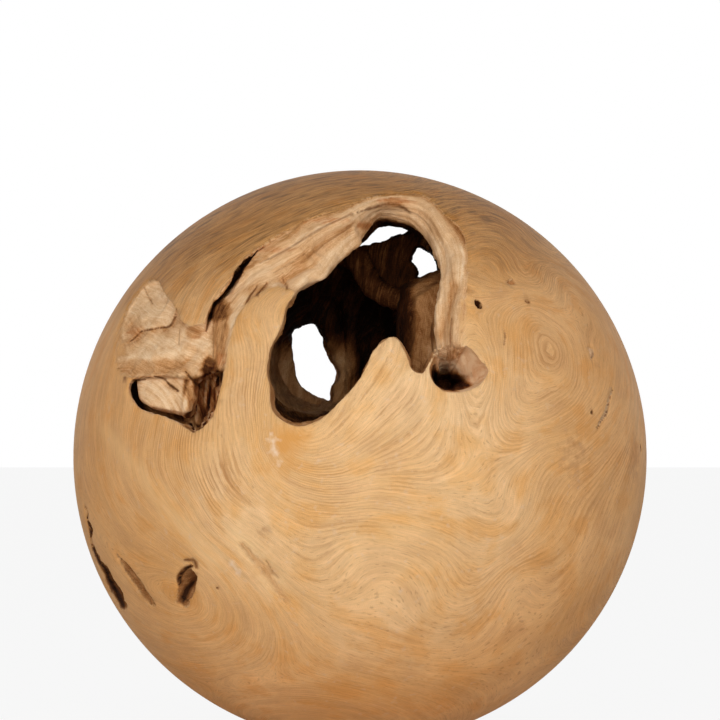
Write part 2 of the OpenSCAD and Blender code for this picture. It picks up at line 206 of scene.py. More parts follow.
# Folds and creases of the torn wood: [height, width left of its run, width right, [x, z], ...]
folds = [
    # The long fold over the ledge, the trough and the curled lip below it
    [1.3, 3, 8, [-65, 132], [-56, 137], [-47, 143], [-37, 148], [-25, 154], [-13, 162], [0, 167],
     [13, 171], [26, 171]],
    [-1.5, 6, 2.5, [-40, 126], [-33, 133], [-26, 139], [-17, 145], [-7, 152]],
    [-1.9, 4, 2, [-51, 116], [-45, 119], [-38, 123], [-32, 125]],
    [2.2, 4, 5, [-37, 116], [-31, 120], [-25, 124], [-18, 132], [-10, 138]],
    # Slanting cracks where the ledge breaks off over the pillar
    [-1.8, 1.3, 1.3, [-61, 114], [-66, 108], [-71, 101]],
    [-1.3, 1.1, 1.1, [-67, 113], [-72, 106], [-75, 100]],
    [-1.6, 1.5, 1.5, [-51, 117], [-48, 111], [-47, 105]],
    # Creases and rolled lips of the limb right of the mouth
    [-2.3, 3.5, 3.5, [63, 111], [58, 100], [55, 90], [53, 81]],
    [-1.0, 1.5, 1.5, [60, 90], [59, 81], [59, 72]],
    [1.4, 3, 3, [68, 137], [68, 116], [66, 96], [65, 73]],
    [1.1, 2, 2, [52, 137], [53, 120], [52, 102], [48, 90], [47, 82]],
    [-1.6, 1.5, 4, [55, 170], [61, 162], [66, 153], [70, 141], [72, 127], [72, 108]],
    [1.5, 1.2, 1.5, [67, 71], [70, 73], [72, 68], [77, 64], [82, 61], [84, 58]],
    # The stepped crack, the humps and the eroded foot of the recess
    [-1.6, 6, 0.9, [-123, 97], [-124, 92], [-127, 87], [-134, 86], [-141, 85], [-147, 84],
     [-151, 80], [-155, 77]],
    [-0.8, 0.9, 0.9, [-147, 115], [-144, 109], [-140, 103]],
    [-0.6, 0.9, 0.9, [-120, 84], [-120, 74]],
    [1.6, 6, 3, [-169, 73], [-154, 67], [-140, 65], [-126, 68], [-112, 73]],
    [-2.2, 4, 4, [-162, 60], [-147, 58], [-133, 59], [-122, 62]],
    [-1.2, 2, 2, [-129, 56], [-122, 60], [-115, 62], [-109, 69]],
    [-1.2, 1.5, 1.5, [-115, 56], [-110, 50], [-106, 46]],
    [-2, 1.1, 1.1, [-127, 48], [-121, 44]]]


def folded(p):
    """Height that the folds add to the torn wood of the front."""
    flat = p[:, [0, 2]]
    total = np.zeros(len(p))
    for height, left, right, *line in folds:
        line = rounded(line)
        reach = 3 * max(left, right)
        near = ((flat > line.min(0) - reach) & (flat < line.max(0) + reach)).all(1)
        _, gap, side, _ = off_line(flat[near], line)
        total[near] += height * np.exp(-(gap / np.where(side > 0, left, right)) ** 1.5)
    return total


def zones(p, across):
    """The share of each torn zone at each point: ledge, recess, void, hollow."""
    x, y, z = p.T
    sunk = behind_skin(p)
    cut = smooth((depth_of(p) - 0.5) / 1.3)
    front = smooth((-60 - y) / 20)
    recess = cut * smooth((-30 - y) / 20) * smooth((-95 - x) / 3) * smooth((z - 50) / 4)
    recess *= smooth((17 - depth_of(p)) / 5)
    void = cut * front * smooth((-87 - x) / 4) * smooth((59 - z) / 6) * smooth((z - 4) / 6)
    void *= 1 - recess
    ledge = cut * front * smooth((1.35 - np.abs(across)) / 0.3) * smooth((52 - sunk) / 12)
    ledge *= (1 - recess) * (1 - void)
    hollow = cut * (1 - ledge) * (1 - recess) * (1 - void)
    return ledge, recess, void, hollow


def torn_relief(p):
    """Height of the torn wood above its plain form, in millimetres."""
    x, y, z = p.T
    sunk = behind_skin(p)
    way, across, _ = along_ledge(p)
    ledge, recess, void, hollow = zones(p, across)
    run = np.stack([way / 42, across * 2.2, sunk / 9], 1)
    band = smooth((across - 0.45) / 0.3)
    on_ledge = 1.0 * noise(p / 14, 11) + 0.9 * ridged(run, 12) + 0.25 * noise(p / 3.5, 13)
    on_ledge += 0.45 * ridged(np.stack([way / 30, across * 5, sunk / 5], 1), 15)
    on_ledge += band * 0.5 * ridged(np.stack([way / 26, across * 6, sunk / 4], 1), 14)
    channel = ledge * smooth((-84 - x) / 5) * smooth((104 - z) / 5)
    splinters = 1.1 * ridged(np.stack([x / 3.4, y / 8, z / 20], 1), 33)
    on_ledge += channel * splinters
    foot = smooth((64 - z) / 6)
    on_recess = 1.3 * ridged(p / 24, 22) + 0.6 * rough(p / 7, 21, 3)
    on_recess += foot * 0.5 * ridged(np.stack([x / 17, y / 8, z / 3.2], 1), 24)
    slivers = smooth((x + 119) / 5)
    in_void = 0.5 * noise(p / 10, 31)
    in_void += 0.4 * ridged(np.stack([(x + z) / 5, y / 9, (x - z) / 16], 1), 32)
    standing = slivers * smooth((sunk - 7) / 8) * 2.4
    in_void += standing * ridged(np.stack([x / 3.5, y / 8, z / 22], 1), 34)
    deep = smooth((sunk - 6) / 20)
    in_hollow = 2.0 * noise(p / 27, 41) + 1.5 * ridged(np.stack([x / 9, y / 14, z / 34], 1), 42)
    in_hollow += 0.6 * rough(p / 6, 43, 2)
    torn = ledge * on_ledge + recess * on_recess + void * in_void + hollow * deep * in_hollow
    return torn + (ledge + recess + void) * folded(p)


opened = depth_of(p) > 0.4
heights = torn_relief(p[opened])[:, None]
p[opened] += outward(mesh)[opened] * heights

# The limb runs on into the pocket, whose upper right wall slopes in by 35 mm in 100, and
# the inner root reaches 6 mm nearer to the left wall of the void
x, y, z = p.T
sunk = behind_skin(p)
slope = 0.35 * np.clip(sunk - 4, 0, 36) * smooth((x - 47) / 4) * smooth((-40 - y) / 10)
slope *= smooth((90 - z) / 12)
root_share = smooth((sunk - 8) / 6) * smooth((x + 153) / 14) * smooth((-118 - x) / 16)
root_share *= smooth((56 - z) / 6) * smooth((z - 4) / 6)
to_left = 6 * root_share + 0.9 * slope * smooth((x - 55) / 22)
p -= np.stack([to_left, 0 * x, slope * smooth((z - 44) / 26)], 1)

# ---- Drying cracks and torn knots of the skin ----
# The stump split as it dried, and knots tore out on the lathe. The wide ones are
# open in the turned ball; here their edges break and the hairlines are added.

# [depth, share of dark wood and painted shade, [x, z, half width], ...] in mm, on the front
skin_cracks = [
    [5, 1.0, [-188, -34, 0.4], [-186, -37, 0.5], [-186, -43, 0.5], [-185, -46, 1.0],
     [-184, -49, 1.2], [-184, -52, 0.9], [-184, -57, 0.4], [-183, -62, 1.0], [-181, -67, 1.3],
     [-178, -73, 1.6], [-174, -77, 2.2], [-172, -82, 2.5], [-170, -87, 2.9], [-166, -93, 3.0],
     [-162, -102, 2.0]],
    [2.5, 0.3, [-163, -67, 0.7], [-158, -73, 1.8], [-154, -78, 2.2], [-149, -85, 2.3],
     [-145, -91, 2.2], [-139, -99, 1.2]],
    [5, 1.0, [-111, -72, 0.8], [-116, -75, 1.5], [-119, -80, 1.8], [-119, -84, 1.4]],
    [7, 1.0, [-108, -79, 0.7], [-111, -84, 2.2], [-115, -89, 3.4], [-117, -95, 2.8]],
    [1.2, 0.6, [-115, -68, 1.0], [-109, -68, 1.6], [-107, -73, 1.0]],
    [1.1, 0.12, [-77, -57, 2], [-69, -66, 4], [-61, -75, 4.5], [-56, -83, 3.5], [-48, -94, 2]],
    [0.8, 0.4, [-61, -67, 0.6], [-57, -74, 0.9], [-53, -79, 0.8]],
    [3, 0.6, [170, 45, 0.3], [167, 38, 0.7], [165, 30, 0.9], [161, 24, 0.7], [158, 19, 0.3]],
    [1.5, 0.45, [153, 73, 0.6], [156, 69, 1.0], [155, 66, 0.6]],
    [1.0, 0.5, [95, 83, 0.6], [95, 78, 0.7], [94, 73, 0.5]],
    [1.0, 0.7, [-136, 53, 0.5], [-131, 52, 0.9], [-127, 49, 0.5]],
    [1.2, 0.6, [192, 11, 0.5], [192, 3, 0.6]],
    [1.1, 0.7, [110, 103, 0.9], [112, 102, 0.9]],
    [1.3, 0.9, [154, 30, 0.9], [154, 29, 0.9]],
    [1.0, 0.8, [-94, -86, 0.8], [-93, -86, 0.8]]]
# Fine cracks of the torn wood, which show as dark lines only: painted shade in the cracks
torn_cracks = [
    [0, 0.85, [-122, 98, 0.4], [-124, 92, 0.8], [-127, 87, 0.8], [-134, 86, 0.5], [-141, 85, 0.7],
     [-147, 84, 0.6], [-151, 80, 0.6], [-155, 77, 0.3]],
    [0, 0.5, [-147, 115, 0.4], [-144, 109, 0.5], [-140, 103, 0.3]],
    [0, 0.4, [-120, 84, 0.4], [-120, 74, 0.5]],
    [0, 0.8, [-61, 114, 0.5], [-66, 108, 0.9], [-71, 101, 0.5]],
    [0, 0.7, [-67, 113, 0.5], [-72, 106, 0.9], [-75, 100, 0.5]],
    [0, 0.6, [-51, 117, 0.5], [-48, 111, 0.9], [-47, 105, 0.5]],
    [0, 0.5, [60, 90, 0.5], [59, 81, 0.7], [59, 72, 0.8]],
    [0, 0.9, [-128, 49, 0.5], [-124, 46, 1.1], [-120, 43, 0.5]],
    [0, 0.8, [-115, 56, 0.5], [-110, 50, 1.2], [-106, 46, 0.8]],
    [0, 0.7, [-158, 53, 0.4], [-152, 51, 0.8], [-143, 51, 0.5]],
    [0, 0.45, [-66, 128, 0.6], [-54, 134, 1.1], [-42, 141, 0.8], [-30, 149, 1.2], [-18, 156, 0.9],
     [-5, 162, 1.2]],
    [0, 0.55, [-2, 163, 0.6], [8, 167, 1.3], [18, 170, 1.0], [27, 169, 1.4], [34, 165, 0.6]],
    [0, 0.4, [-40, 127, 0.5], [-32, 134, 0.9], [-24, 141, 1.0], [-14, 148, 0.8], [-6, 154, 1.0]],
    [0, 0.35, [-57, 121, 0.5], [-47, 127, 0.9], [-37, 134, 0.8]]]


def cracked(p):
    """How deep the skin is cracked at each point, and how far the crack's dark wood and painted
    shade show.
    """
    lost, dark = np.zeros(len(p)), np.zeros(len(p))
    for depth, shade, *line in skin_cracks + torn_cracks:
        line = rounded(line)
        flat = p[:, [0, 2]]
        near = (p[:, 1] < 0) & ((flat > line.min(0)[:2] - 8) & (flat < line.max(0)[:2] + 8)).all(1)
        _, gap, _, part = off_line(flat[near], line[:, :2])
        cut = np.exp(-(gap * (1 + 0.4 * noise(p[near] / 3.5, 8)) / line[part, 2]) ** 2)
        lost[near] = np.maximum(lost[near], depth * cut)
        dark[near] = np.maximum(dark[near], shade * cut)
    return lost, dark


closed = depth_of(p) < 0.8
p[closed] *= (1 - cracked(p[closed])[0] / ball_r)[:, None]
set_points(mesh, p)

# The torn front keeps its fine mesh, and the plain skin and the dark walls give up triangles
front_torn = sum(zones(p, along_ledge(p)[1])[:3]) > 0.4
plain = ball.vertex_groups.new(name="plain")
plain.add(np.flatnonzero(~front_torn).tolist(), 1.0, "REPLACE")
fewer = ball.modifiers.new("fewer", "DECIMATE")
fewer.ratio = most_triangles / (2 * len(mesh.polygons))
fewer.vertex_group = plain.name
mesh = applied(ball)
p = points_of(mesh)
skin = depth_of(p) < 0.25
p[skin] *= (ball_r / np.linalg.norm(p[skin], axis=1))[:, None]
set_points(mesh, p)
mesh.polygons.foreach_set("use_smooth", [True] * len(mesh.polygons))
ball.vertex_groups.clear()

# ---- Growth rings ----
# The rings of a root run round each of its arms, so on the ball they make long
# lines, flames and ovals. Each line is [depth in the wood in mm, [x, z], ...] on
# the front skin; between the lines the rings are spread evenly.

growth_lines = [
    [0, [-105, -86], [-141, -67], [-162, -51], [-178, -27], [-186, 1], [-184, 38], [-174, 72],
     [-157, 104], [-133, 132], [-94, 157], [-47, 180], [10, 192]],
    [45, [-149, 85], [-121, 118], [-92, 139], [-46, 163], [9, 180], [34, 184]],
    [72, [-111, 91], [-103, 110], [-85, 129], [-65, 142]],
    [83, [-136, 14], [-138, -10], [-130, -23], [-117, -40], [-101, -59], [-78, -80]],
    [131, [-88, 99], [-92, 69], [-97, 37], [-101, 13], [-98, -10], [-93, -23], [-80, -35],
     [-59, -49], [-32, -70]],
    [160, [-64, 105], [-64, 72], [-67, 43], [-66, 17], [-61, -2], [-44, -19], [-10, -26], [26, -25],
     [62, -30], [94, -37]],
    [168, [4, -16], [38, -17], [56, -14], [70, -7], [80, 3], [83, 20], [86, 37]],
    [180, [-39, -9], [-6, -9], [26, 7], [46, 26], [52, 36]],
    [205, [-45, 12], [-31, 11], [-14, 21], [-1, 38], [12, 60], [21, 74]],
    [167, [88, 48], [85, 68], [76, 84], [71, 102]],
    [212, [127, 68]],
    [203, [127, 81], [136, 71], [131, 56], [120, 55], [116, 70]],
    [192, [117, 96], [138, 81], [140, 65], [126, 39], [106, 32], [98, 39], [101, 63], [102, 83]],
    [180, [106, 103], [130, 95], [149, 74], [155, 55], [146, 36], [128, 21], [103, 17], [93, 24],
     [94, 50], [94, 79]],
    [160, [95, -19], [124, 8], [154, 24], [170, 48], [172, 78], [157, 107], [133, 125]],
    [98, [167, -80], [182, -37], [191, 0], [195, 39], [188, 80], [169, 119], [141, 152]],
    [150, [71, 127], [79, 132], [88, 131], [95, 125], [97, 113]],
    [138, [70, 140], [82, 146], [95, 144], [107, 134], [112, 120]],
    [125, [68, 156], [85, 158], [105, 152], [122, 136], [134, 132]],
    [108, [64, 171], [89, 171], [118, 163], [148, 144]],
    [135, [-6, -48], [30, -53], [60, -66], [77, -81]],
    [118, [101, -80], [118, -83], [137, -75], [146, -62]]]
# The other arms of the root: [depth at the middle, middle on the ball, rings out to]
root_arms = [[-110, [-60, 180, 40], 130], [20, [90, 150, -90], 90], [10, [-30, -60, -188], 80]]


def round_arm(middle, distance, steps):
    """Points on the ball at one distance from the middle of an arm."""
    axis = Vector(middle).normalized()
    side = axis.orthogonal().normalized()
    other = axis.cross(side)
    angle = distance / ball_r
    turns = [2 * math.pi * k / steps for k in range(steps)]
    to_side = [math.cos(t) * side + math.sin(t) * other for t in turns]
    return [list(ball_r * (math.cos(angle) * axis + math.sin(angle) * to)) for to in to_side]


knots = [[level, on_front(*at)] for level, *line in growth_lines for at in line]
for level, middle, reach in root_arms:
    knots.append([level, list(ball_r * Vector(middle).normalized())])
    for distance in range(40, reach + 1, 40):
        knots += [[level + distance, at] for at in round_arm(middle, distance, 8)]
knot_depth = np.array([depth for depth, at in knots], float)
knot_at = np.array([at for depth, at in knots]) / ball_r


def thin_plate(p):
    """The smoothest bend over the knots has one term for each of them and four plain ones."""
    gaps = np.linalg.norm(p[:, None] - knot_at[None], axis=2)
    return np.hstack([gaps ** 3, np.ones((len(p), 1)), p])


# The rings may miss a line by a little, which keeps them even
give = 0.0002
bend = thin_plate(knot_at)
corner = len(knots)
whole = np.zeros((corner + 4, corner + 4))
whole[:corner] = bend
whole[corner:, :corner] = bend[:, corner:].T
whole[:corner, :corner] += give * np.eye(corner)
weights = np.linalg.solve(whole, np.concatenate([knot_depth, np.zeros(4)]))
ring_depth = thin_plate(p / ball_r) @ weights
# How fast the depth grows in each direction, in mm of wood per mm
to_knots = p[:, None] / ball_r - knot_at[None]
ring_slope = 3 * np.linalg.norm(to_knots, axis=2)[:, :, None] * to_knots
ring_slope = (ring_slope * weights[:corner, None]).sum(1)
ring_slope = (ring_slope + weights[corner + 1:]) / ball_r
out_of_ball = p / np.linalg.norm(p, axis=1)[:, None]
ring_slope -= (ring_slope * out_of_ball).sum(1)[:, None] * out_of_ball
spread = np.linalg.norm(ring_slope, axis=1)

# ---- Where the wood changes, and painted shade ----
# Raw torn wood is pale and turns grey-brown where dirt and rot sat; inside the
# hollow it darkens to nearly black: old wood, and painted shade deeper in. Creases,
# the slit, gaps and cracks are painted darker as painted shade. The skin is greyer
# on the top, is painted darker towards its outline as painted shade, and has a
# resin stain, whitish filler and a few dark marks on the front.

way, across, run = along_ledge(p)
ledge, recess, void, hollow = zones(p, across)
sunk = behind_skin(p)
x, y, z = p.T
band = smooth((across - 0.4) / 0.35)
limb = smooth((x - 46) / 5) * smooth((150 - z) / 10)
channel = smooth((-84 - x) / 5) * smooth((106 - z) / 8)
slivers = smooth((x + 118) / 4)
old_wood_and_depth_shade = smooth((sunk - 20) / 25)
height = folded(p)

# 0 is the palest raw wood, 1 is black
on_ledge = 0.22 + 0.15 * band - 0.05 * smooth((-0.2 - across) / 0.4) - 0.05 * limb
# The ledge darkens where it lies deep behind the skin: old wood, partly painted shade
on_ledge = on_ledge + 0.22 * channel + 0.16 * old_wood_and_depth_shade
on_ledge += (0.13 * noise(np.stack([way / 34, across * 4, sunk / 7], 1), 51)
             + 0.05 * rough(p / 7, 52, 2))
# The slit that undercuts the skin is painted nearly black, as painted shadow under the overhanging
# skin
slit_shadow = smooth((sunk - 7) / 3) * smooth((across - 0.55) / 0.25) * smooth((-50 - x) / 6)
on_ledge += (0.96 - on_ledge) * slit_shadow
on_ledge += band * 0.12 * noise(np.stack([way / 12, across * 7, sunk / 5], 1), 53)
on_recess = 0.11 + 0.1 * smooth((76 - z + 16 * rough(p / 14, 69, 2)) / 24)
on_recess += 0.08 * rough(p / 11, 54, 3)
on_recess += 0.1 * rough(np.stack([x + z, 3 * y, 3 * (z - 0.5 * x)], 1) / 12, 70, 2)
on_recess = np.maximum(on_recess, 0.12)
on_recess += 0.05 * smooth((70 - z) / 14) * ridged(np.stack([x / 17, y / 8, z / 3.2], 1), 24)
arcs = np.hypot(x + 165, z - 15)
in_void = 0.09 + 0.1 * ridged(np.stack([arcs / 5.5, y / 60, 0 * x], 1), 55)
in_void += 0.05 * noise(p / 9, 56)
dark_slivers = 0.52 + 0.95 * noise(np.stack([x / 3.5, y / 8, z / 20], 1), 57)
in_void += slivers * (dark_slivers - in_void)
# Painted shade: the void's walls are painted darker with depth, down to nearly black, and black in
# the gap at its left
in_void += (0.55 - in_void) * smooth((sunk - 24 - 30 * slivers) / 7)
in_void += (0.95 - in_void) * smooth((sunk - 10) / 4) * smooth((-143 - x + 0.35 * (34 - z)) / 4)
in_void += (0.95 - in_void) * smooth((sunk - 40 - 25 * slivers) / 12)
# The hollow is painted darker towards the back, to nearly black: old dark wood, and painted shade
# deeper in
in_hollow = np.interp(y, [-165, -130, -95, -60, 0, 50, 105],
                      [0.36, 0.45, 0.53, 0.52, 0.7, 0.82, 0.95])
# Painted light: the wood low down at the back on the left is painted lighter where light falls in,
# and painted shade darkens the middle of the hollow left of the lit right wall
painted_light_low_back = smooth((y - 40) / 30) * smooth((95 - z) / 25)
in_hollow -= 0.55 * painted_light_low_back * smooth((2 - x) / 12)
painted_shade_mid_hollow = smooth((40 - x) / 9) * smooth((x + 5) / 20)
painted_shade_mid_hollow = painted_shade_mid_hollow * smooth((20 - y) / 30) * smooth((y + 100) / 30)
in_hollow += 0.3 * painted_shade_mid_hollow
in_hollow += 0.08 * rough(p / 20, 58, 3) + 0.07 * ridged(np.stack([x / 8, y / 34, z / 30], 1), 42)
pocket = smooth((x - 45) / 3) * smooth((80 - z) / 6) * smooth((-40 - y) / 10)
in_pocket = 0.04 + 0.1 * rough(p / 8, 68, 2)
# The deep lower left of the pocket goes nearly black and its left side darker: old dark wood,
# partly painted shade
in_pocket += 0.84 * smooth((sunk - 12) / 15) * smooth((59 - z - 0.9 * np.clip(x - 63, 0, 30)) / 6)
in_pocket += 0.35 * smooth((53 - x) / 5) * smooth((sunk - 8) / 8)
in_hollow += pocket * (in_pocket - in_hollow)
fin = smooth((14 - sunk) / 6) * smooth((x - 34) / 5) * smooth((53 - x) / 3) * smooth((84 - z) / 5)
in_hollow += fin * (0.1 - in_hollow)
# Open knot holes and cracks in the skin are painted dark inside: dark wood, partly painted shade
for at_x, at_z, reach in [[77, 102, 7], [154, 30, 5], [-185, -44, 9], [-171, -88, 14]]:
    in_hollow += smooth((reach - np.hypot(x - at_x, z - at_z)) / 2) * (y < 0) * (0.9 - in_hollow)
tone = ledge * on_ledge + recess * on_recess + void * in_void + hollow * in_hollow
tone /= np.maximum(ledge + recess + void + hollow, 0.01)
# Painted shade: the torn wood is painted darker in the troughs of the folds, and a little paler on
# their crests as painted highlight
crease_shade_and_crest_light = 0.2 * np.clip(-height / 1.6, 0, 1) - 0.05 * np.clip(height / 1.6, 0, 1)
tone += (ledge + recess + void) * crease_shade_and_crest_light

# Patches of dirt, rot and paler breaks, and of painted shade under the slit's lower end and in two
# dark gaps among the splinters: [x, z, half width, half height, tone]
patches = [
    # The first, third and fifth patches are painted shade: the shadow under the slit and two dark
    # gaps
    [-94, 96, 8, 8, 0.75], [-92, 80, 7, 9, 0.45], [-99, 58, 6, 8, 0.8], [-90, 60, 3, 6, 0.25],
    [-102, 50, 3, 4, 0.9], [-96, 54, 2, 2, 0.22], [70, 72, 3, 1.8, 0.02],
    [76, 65.5, 3.5, 1.6, 0.02], [82, 61, 3, 1.6, 0.02], [-152, 86, 8, 10, 0.33],
    [-153, 76, 7, 6, 0.31], [-110, 82, 6, 5, 0.4], [-147, 60, 22, 5, 0.36], [-67, 108, 8, 6, 0.4],
    [24, 171, 9, 3, 0.45], [4, 155, 6, 3, 0.5], [-118, 92, 3, 6, 0.35]]
for at_x, at_z, wide, tall, its_tone in patches:
    reach = np.hypot((x - at_x) / wide, (z - at_z) / tall) + 0.35 * rough(p / 5, 59, 2)
    share = smooth((1.25 - reach) / 0.7) * (ledge + recess + void) * smooth((40 - sunk) / 10)
    tone += share * (its_tone - tone) * 0.85

# Rust-red resin in the outer band and at the splinters: [x, z, half width, half height, share]
rust = np.zeros(len(p))
for at_x, at_z, wide, tall, its_share in [
        [24, 172, 12, 2.5, 0.6], [4, 155, 7, 2.5, 0.5], [-22, 157, 16, 2, 0.4],
        [-55, 137, 14, 2, 0.35], [-91, 64, 3, 5, 0.5], [-97, 58, 3, 3, 0.5], [-152, 83, 6, 6, 0.3],
        [68, 58, 16, 13, 0.35], [-100, 40, 9, 18, 0.6]]:
    reach = np.hypot((x - at_x) / wide, (z - at_z) / tall) + 0.7 * rough(p / 4, 60, 2)
    rust = np.maximum(rust, its_share * smooth((1.3 - reach) / 0.8) * smooth((90 - sunk) / 20))

# Raw fibres lie in layers: how many mm deep in them each point is
kinds = np.stack([ledge, recess, void, hollow])
over_ledge = 14 * across - 0.7 * sunk
over_recess = 0.5 * x + 0.85 * z + 4 * noise(p / 20, 65) + 1.5 * noise(p / 7, 66)
around = 45 * np.arctan2(x + 10, -y - 20 + 0 * z) + 0.15 * z + 3 * noise(p / 25, 67)
in_layer = np.choose(kinds.argmax(0), [over_ledge, over_recess, arcs + 0.25 * y, around])


def near(spots):
    """The highest share of the spots [x, z, reach, share] at each point of the front."""
    best = np.zeros(len(p))
    for at_x, at_z, reach, share in spots:
        gap = np.linalg.norm(p - on_front(at_x, at_z), axis=1)
        best = np.maximum(best, share * np.clip(1 - gap / (2 * reach), 0, 1) * 2)
    return best


def beside(half, *line):
    """Share of a streak on the front skin, 1 in its middle and 0.5 at half its width."""
    gap = off_line(p, rounded([on_front(*at) for at in line]))[1]
    return np.clip(1 - gap / (2 * half), 0, 1)


patchy = rough(p / 22, 61, 3)
figure = near([
    [-118, 8, 28, 0.6], [-100, -15, 24, 0.6], [-70, 45, 26, 0.4], [-10, -20, 40, 0.2],
    [10, 30, 34, 0.4], [45, 15, 26, 0.35], [90, 150, 34, 0.4], [125, 62, 32, 0.3],
    [85, 20, 26, 0.25], [165, -10, 26, 0.4], [84, 112, 18, 0.4], [-120, 130, 40, 0.4],
    [120, -60, 40, 0.25]])
fields = {
    "ring": ring_depth,
    "layer": in_layer,
    "rust": rust,
    "spread": spread,
    "torn": smooth((depth_of(p) - 0.5) / 1.0),
    "tone": np.clip(tone, 0, 1),
    "cracked": cracked(p)[1],
    "figure": 0.25 + 0.75 * figure + 0.15 * patchy,
    "stain": near([[-49, 9, 8, 0.6], [-41, 11, 7, 0.5], [-35, 13, 5, 0.4], [-58, -7, 5, 0.3],
                   [-50, -7, 5, 0.3], [-64, -72, 8, 0.25], [-115, -92, 9, 0.4]]),
    "resin": near([[-57, 11, 2, 0.4], [-56, 5, 2, 0.4], [-54, 0, 2.5, 0.45], [-50, -2, 2, 0.4],
                   [-81, -73, 2.5, 0.4]]),
    "pale": np.maximum(
        0.8 * beside(5, [-171, 18], [-152, -4], [-131, -29], [-111, -51], [-95, -68]),
        0.8 * beside(6, [-80, -52], [-68, -64], [-57, -82])),
    "dark": near([[-62, -49, 3, 0.4], [-69, 60, 3, 0.25], [72, 109, 3, 0.25], [141, 0, 12, 0.16],
                  [186, 0, 12, 0.18], [140, 9, 3, 0.35], [160, 60, 2, 0.4], [111, 103, 2, 0.35]]),
    # Painted shade: the skin towards the ball's outline and over its back
    "outline_shade": np.where(y < 0, smooth((np.hypot(x, z) - 60) / 130), 1.0),
    "weathered": np.clip(smooth((z + 12 * patchy - 88) / 95) * smooth((100 - y) / 160)
                         + 0.4 * smooth((-30 - x) / 60) * smooth((z - 60) / 60), 0, 1)}
for name, value in fields.items():
    mesh.attributes.new(name, "FLOAT", "POINT").data.foreach_set("value", value.astype(np.float32))

# The fibres run along the rings on the skin, along the ledge, and up the old walls
waver = np.stack([noise(p / 26, seed) for seed in (62, 63, 64)], 1)
on_turned = np.cross(out_of_ball, ring_slope)
on_turned /= np.linalg.norm(on_turned, axis=1)[:, None] + 0.05
run_of_ledge = np.stack([run[:, 0], 0 * x, run[:, 1]], 1) + 0.3 * waver
up_walls = np.array([0.15, 0.1, 1]) + 0.6 * waver
in_recess = np.array([0.8, 0, -0.45]) + 0.7 * waver
round_arcs = np.stack([-(z - 15) / arcs, 0 * x, (x + 165) / arcs], 1)
round_arcs = round_arcs * (1 - slivers[:, None]) + slivers[:, None] * up_walls
rest = np.clip(1 - ledge - recess - void - hollow, 0, 1)
fibre = sum(share[:, None] * its_run for share, its_run in (
    (rest, on_turned), (ledge, run_of_ledge), (void, round_arcs), (hollow, up_walls),
    (recess, in_recess)))
fibre /= np.linalg.norm(fibre, axis=1)[:, None] + 0.001
fibre_rows = mesh.attributes.new("fibre", "FLOAT_VECTOR", "POINT").data
fibre_rows.foreach_set("vector", fibre.astype(np.float32).ravel())


def linear(code):
    """An sRGB hex colour as the linear colour that a shader takes."""
    parts = [int(code[k:k + 2], 16) / 255 for k in (1, 3, 5)]
    return [c / 12.92 if c <= 0.04045 else ((c + 0.055) / 1.055) ** 2.4 for c in parts] + [1]


def add(tree, kind, sockets, **settings):
    """Adds a node with its settings; sockets gives each input a value or another node's output."""
    made = tree.nodes.new("ShaderNode" + kind)
    for name, value in settings.items():
        setattr(made, name, value)
    for socket, value in sockets.items():
        if isinstance(value, bpy.types.NodeSocket):
            tree.links.new(value, made.inputs[socket])
        else:
            made.inputs[socket].default_value = value
    return made


# Sanded teak root: oil-pale heartwood with fine darker growth lines, open pores
# drawn out along the grain, and a matte skin that only a fine grit has touched.
teak = bpy.data.materials.new("sanded_teak_root")
teak.use_nodes = True
tree = teak.node_tree
shader = tree.nodes["Principled BSDF"]
place = add(tree, "TexCoord", {}).outputs["Object"]
place = add(tree, "VectorMath", {0: place, "Scale": 1 / MM}, operation="SCALE").outputs[0]
read = {name: add(tree, "Attribute", {}, attribute_name=name).outputs["Fac"] for name in fields}
fibre_way = add(tree, "Attribute", {}, attribute_name="fibre").outputs["Vector"]


def sum_of(a, b, c=0.0):
    """a times b plus c."""
    return add(tree, "Math", {0: a, 1: b, 2: c}, operation="MULTIPLY_ADD").outputs[0]


def ranged(value, start, end, low=0.0, high=1.0):
    """The value brought from start-end to low-high, and held there."""
    span = {"Value": value, "From Min": start, "From Max": end, "To Min": low, "To Max": high}
    return add(tree, "MapRange", span).outputs[0]


def mixed(share, one, other, blend="MIX"):
    """Two colours mixed by a share of the other."""
    sockets = {0: share, 6: one, 7: other}
    return add(tree, "Mix", sockets, data_type="RGBA", blend_type=blend).outputs[2]


def ramp(value, *stops):
    """Colours or levels at places from 0 to 1."""
    made = add(tree, "ValToRGB", {"Fac": value})
    steps = made.color_ramp.elements
    for k, (place_on_it, colour) in enumerate(stops):
        step = steps[k] if k < 2 else steps.new(place_on_it)
        step.position = place_on_it
        step.color = linear(colour)
    return made.outputs["Color"]


# Growth rings waver a little: by about 2 mm over a thumb's width, and less over a few mm
ring = read["ring"]
for width, amount, detail in ((26, 2.4, 1), (8, 1.0, 1), (2.6, 0.4, 0)):
    sockets = {"Vector": place, "Scale": 1 / width, "Detail": detail}
    wave = add(tree, "TexNoise", sockets).outputs["Fac"]
    wave = sum_of(wave, amount, -0.5 * amount)
    ring = sum_of(wave, read["spread"], ring)


def banded(layers, per_mm, length, detail):
    """Noise drawn out along layers: so many changes to a mm across them, and their length in mm."""
    across_them = sum_of(layers, per_mm * length)
    sockets = {"Vector": place, "W": across_them, "Scale": 1 / length, "Detail": detail}
    return add(tree, "TexNoise", sockets, noise_dimensions="4D").outputs["Fac"]


broad = banded(ring, 0.16, 60, 2)
lines = banded(ring, 0.9, 34, 2)
hairs = banded(ring, 2.2, 16, 1)
flecks = banded(ring, 0.4, 15, 2)
hue = add(tree, "TexNoise", {"Vector": place, "Scale": 1 / 75, "Detail": 3}).outputs["Fac"]
mottle = banded(ring, 0.07, 24, 4)
dash = banded(ring, 4.5, 3.6, 0)
cords = banded(read["layer"], 0.3, 34, 3)
threads = banded(read["layer"], 1.3, 16, 2)

